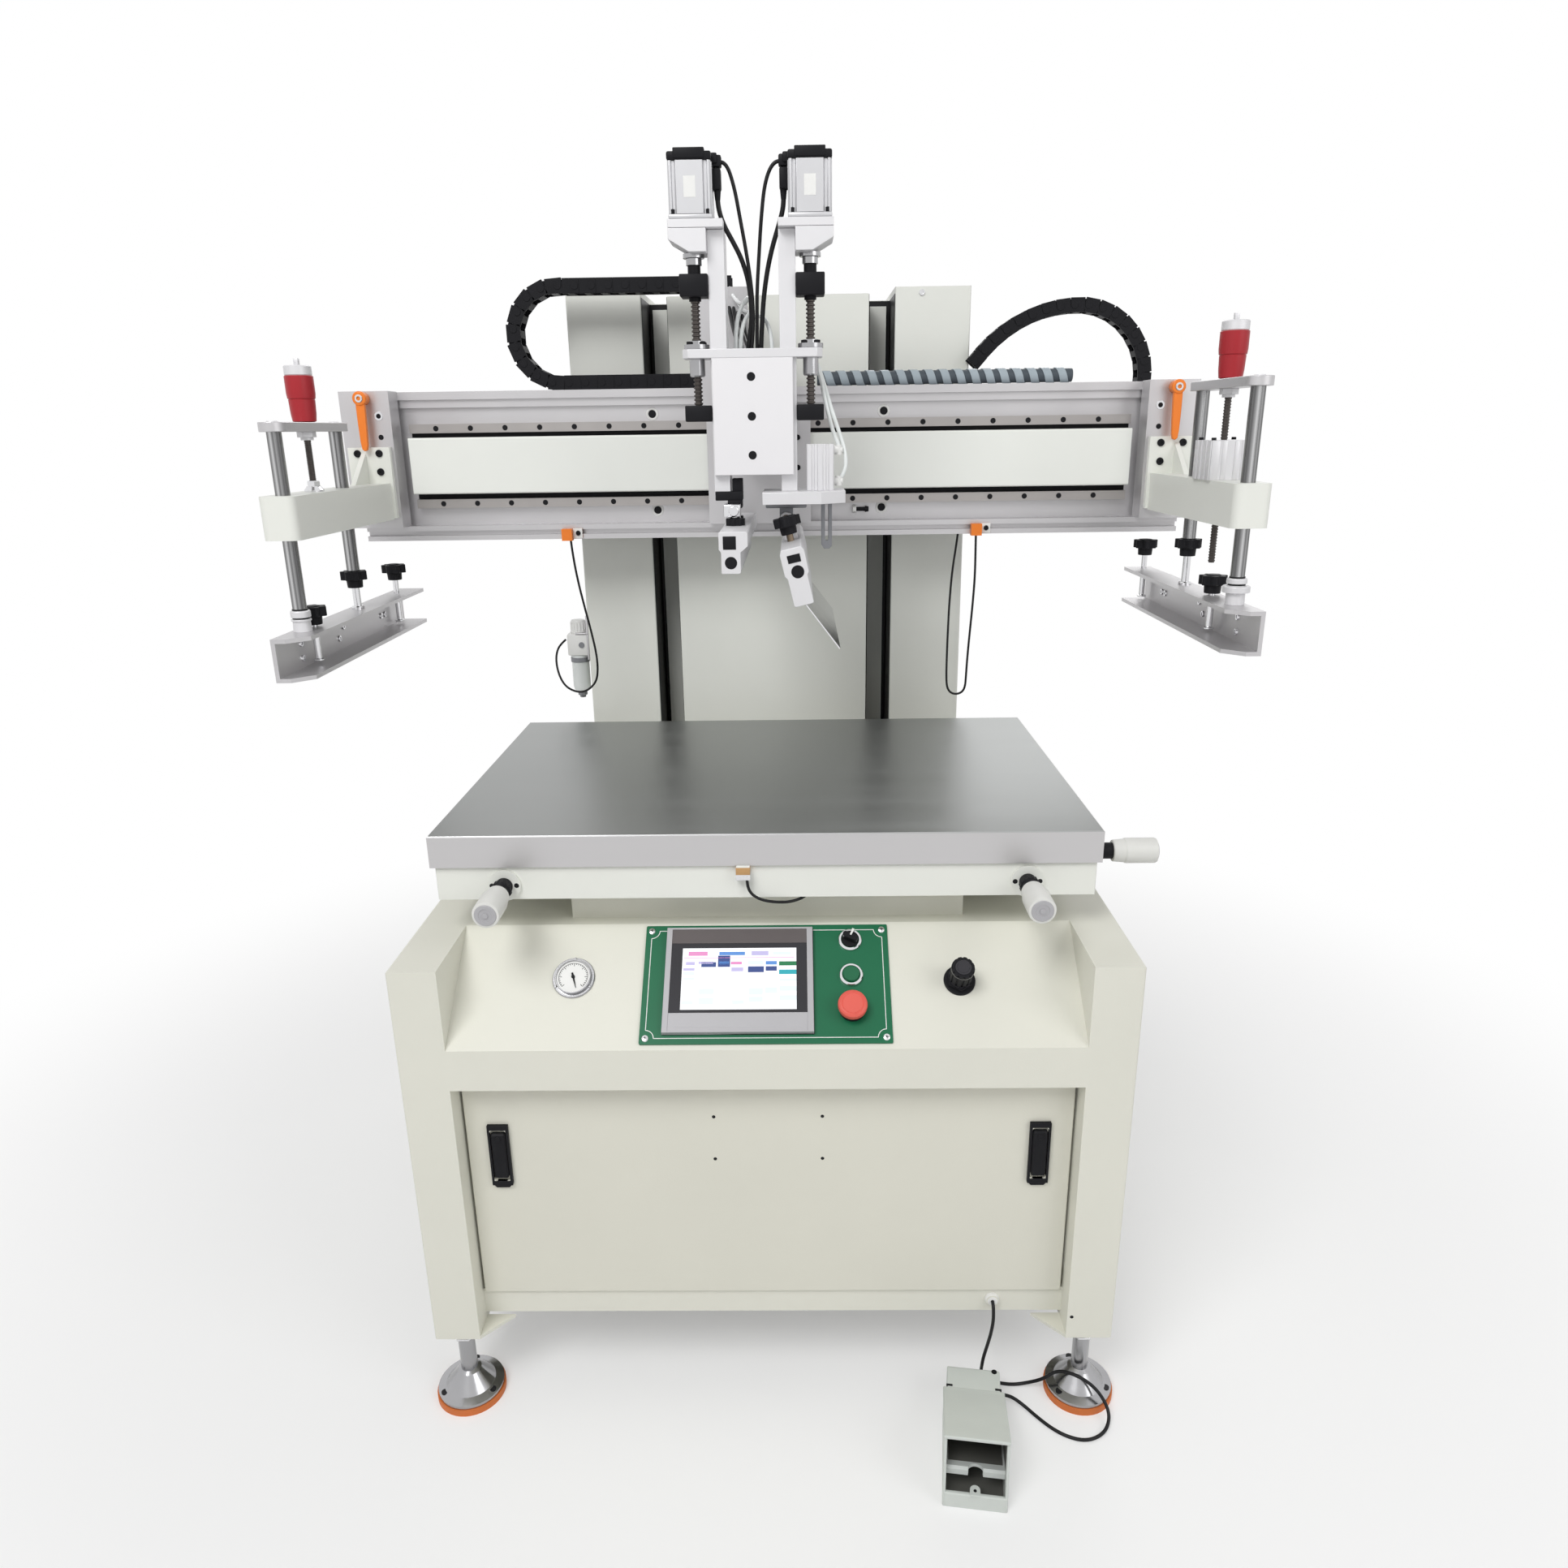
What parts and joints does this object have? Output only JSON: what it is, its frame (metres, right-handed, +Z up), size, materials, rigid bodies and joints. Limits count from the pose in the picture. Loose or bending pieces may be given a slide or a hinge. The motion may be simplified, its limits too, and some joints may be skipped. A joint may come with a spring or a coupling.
{
  "type": "flat-bed screen printing machine",
  "caption": "Flat-bed screen printer: cabinet with sloping console, steel table, column, lifting beam with frame holders, and a print head with squeegee and flood bar.",
  "frame": {"origin": "on the floor under the middle of the bounding box", "axes": "+X to the right of someone who stands at the console, +Y from the console to the column, +Z up"},
  "size_m": [1.44, 1.2519, 1.732],
  "materials": {
    "cream_paint": "satin",
    "panel_paint": "satin",
    "white_paint": "satin",
    "ground_steel": "brushed",
    "dark_steel": "satin",
    "aluminium": "satin",
    "motor_aluminium": "satin",
    "chrome": "polished",
    "black_plastic": "matt",
    "grip_plastic": "matt",
    "red_plastic": "gloss",
    "green_plastic": "gloss",
    "green_plate": "satin",
    "orange_plastic": "satin",
    "orange_rubber": "matt",
    "screen_plastic": "satin",
    "white_plastic": "satin",
    "striped_plastic": "gloss",
    "pedal_plastic": "matt",
    "pedal_pad": "matt",
    "black_rubber": "matt"
  },
  "bodies": {
    "stand": {"cabinet_head": "cream_paint", "cabinet_frame": "cream_paint", "housing_panels": "cream_paint", "front_panel": "panel_paint", "levelling_feet": "chrome", "foot_rubbers": "orange_rubber", "control_plate": "green_plate", "operator_screen": "screen_plastic", "gauge_and_nut": "chrome", "table_support": "cream_paint", "column_sides": "white_paint", "column_core": "white_paint", "air_filter": "white_plastic", "lift_chain": "black_plastic", "pedal_housing": "pedal_plastic", "pedal_cord": "black_rubber"},
    "head_beam": {"beam": "aluminium", "beam_rails": "dark_steel", "beam_cover": "white_paint", "end_brackets": "aluminium", "holder_arms": "white_paint", "proximity_switches": "orange_plastic", "hose_bundle": "striped_plastic", "carriage_chain": "black_plastic", "right_sensor_lead": "black_rubber", "left_sensor_lead": "black_rubber"},
    "carriage": {"carriage_plate": "aluminium", "head_plate": "aluminium", "nut_plate": "aluminium"},
    "squeegee_unit": {"squeegee_slide": "aluminium", "squeegee_motor": "motor_aluminium"},
    "flood_unit": {"flood_slide": "aluminium", "flood_motor": "motor_aluminium", "flood_plate": "aluminium"},
    "squeegee_bar": {"squeegee_clamp": "aluminium"},
    "flood_bar": {"flood_clamp": "aluminium", "flood_blade": "chrome"},
    "left_frame_holder": {"left_holder": "aluminium", "left_channel": "aluminium", "left_clamp_screws": "black_plastic"},
    "right_frame_holder": {"right_holder": "aluminium", "right_channel": "aluminium", "right_clamp_screws": "black_plastic"},
    "left_knob": {"left_height_knob": "red_plastic"},
    "right_knob": {"right_height_knob": "red_plastic"},
    "left_clamp_lever": {"left_lever": "orange_plastic"},
    "right_clamp_lever": {"right_lever": "orange_plastic"},
    "table_cross_slide": {"cross_slide": "dark_steel"},
    "table": {"table_slab": "ground_steel", "table_subframe": "white_paint"},
    "left_adjuster_knob": {"front_left_adjuster": "grip_plastic"},
    "right_adjuster_knob": {"front_right_adjuster": "grip_plastic"},
    "side_adjuster_knob": {"side_adjuster": "grip_plastic"},
    "stop": {"stop_button": "red_plastic"},
    "start": {"start_button": "green_plastic"},
    "selector": {"selector_knob": "black_plastic"},
    "regulator": {"regulator_knob": "black_plastic"},
    "left_latch": {"left_latch_lever": "black_plastic"},
    "right_latch": {"right_latch_lever": "black_plastic"},
    "treadle": {"pedal_treadle": "pedal_pad"}
  },
  "joints": [
    {"name": "head_lift", "type": "slide", "parent": "stand", "child": "head_beam", "axis": [0, 0, 1], "range_m": [-0.13, 0.02], "deforming": ["lift_chain", "left_sensor_lead"]},
    {"name": "carriage_slide", "type": "slide", "parent": "head_beam", "child": "carriage", "axis": [1, 0, 0], "range_m": [-0.42, 0.42], "deforming": ["carriage_chain"]},
    {"name": "squeegee_lift", "type": "slide", "parent": "carriage", "child": "squeegee_unit", "axis": [0, 0, 1], "range_m": [-0.05, 0.018]},
    {"name": "flood_lift", "type": "slide", "parent": "carriage", "child": "flood_unit", "axis": [0, 0, 1], "range_m": [-0.05, 0.018]},
    {"name": "squeegee_tilt", "type": "hinge", "parent": "squeegee_unit", "child": "squeegee_bar", "pos_m": [-0.046, -0.034, 1.26], "axis": [0, 1, 0], "range_deg": [-15, 15]},
    {"name": "flood_tilt", "type": "hinge", "parent": "flood_unit", "child": "flood_bar", "pos_m": [0.032, -0.034, 1.246], "axis": [0, 1, 0], "range_deg": [-15, 15]},
    {"name": "left_height", "type": "slide", "parent": "head_beam", "child": "left_frame_holder", "axis": [0, 0, 1], "range_m": [-0.02, 0.02]},
    {"name": "right_height", "type": "slide", "parent": "head_beam", "child": "right_frame_holder", "axis": [0, 0, 1], "range_m": [-0.05, 0]},
    {"name": "left_knob_turn", "type": "hinge", "parent": "left_frame_holder", "child": "left_knob", "pos_m": [-0.672, -0.03, 1.4], "axis": [0, 0, 1], "continuous": true},
    {"name": "right_knob_turn", "type": "hinge", "parent": "right_frame_holder", "child": "right_knob", "pos_m": [0.672, -0.03, 1.44], "axis": [0, 0, 1], "continuous": true},
    {"name": "left_lever_turn", "type": "hinge", "parent": "head_beam", "child": "left_clamp_lever", "pos_m": [-0.697, 0.22, 1.43], "axis": [0, 1, 0], "range_deg": [-60, 60]},
    {"name": "right_lever_turn", "type": "hinge", "parent": "head_beam", "child": "right_clamp_lever", "pos_m": [0.697, 0.22, 1.43], "axis": [0, 1, 0], "range_deg": [-60, 60]},
    {"name": "table_cross", "type": "slide", "parent": "stand", "child": "table_cross_slide", "axis": [0, 1, 0], "range_m": [-0.01, 0.01]},
    {"name": "table_shift", "type": "slide", "parent": "table_cross_slide", "child": "table", "axis": [1, 0, 0], "range_m": [-0.01, 0.01]},
    {"name": "left_adjuster_turn", "type": "hinge", "parent": "table", "child": "left_adjuster_knob", "pos_m": [-0.352, -0.4, 0.791], "axis": [0, 1, 0], "continuous": true},
    {"name": "right_adjuster_turn", "type": "hinge", "parent": "table", "child": "right_adjuster_knob", "pos_m": [0.352, -0.4, 0.791], "axis": [0, 1, 0], "continuous": true},
    {"name": "side_adjuster_turn", "type": "hinge", "parent": "table", "child": "side_adjuster_knob", "pos_m": [0.48, -0.266, 0.8], "axis": [1, 0, 0], "continuous": true},
    {"name": "stop_press", "type": "slide", "parent": "stand", "child": "stop", "axis": [0, -0.638, 0.77], "range_m": [-0.004, 0]},
    {"name": "start_press", "type": "slide", "parent": "stand", "child": "start", "axis": [0, -0.638, 0.77], "range_m": [-0.0025, 0], "stiffness_N_per_m": 400, "springref_m": 0.002},
    {"name": "selector_turn", "type": "hinge", "parent": "stand", "child": "selector", "pos_m": [0.115, -0.33919, 0.69761], "axis": [0, -0.638, 0.77], "range_deg": [-45, 45]},
    {"name": "regulator_turn", "type": "hinge", "parent": "stand", "child": "regulator", "pos_m": [0.261, -0.38462, 0.65997], "axis": [0, -0.638, 0.77], "continuous": true},
    {"name": "left_latch_turn", "type": "hinge", "parent": "stand", "child": "left_latch", "pos_m": [-0.373, -0.4255, 0.4535], "axis": [-1, 0, 0], "range_deg": [0, 35]},
    {"name": "right_latch_turn", "type": "hinge", "parent": "stand", "child": "right_latch", "pos_m": [0.373, -0.4255, 0.4535], "axis": [-1, 0, 0], "range_deg": [0, 35]},
    {"name": "treadle_press", "type": "hinge", "parent": "stand", "child": "treadle", "pos_m": [0.28715, -0.4994, 0.024], "axis": [0.9914, -0.1305, 0], "range_deg": [0, 6], "stiffness_Nm_per_rad": 2, "springref_deg": -5.73}
  ]
}
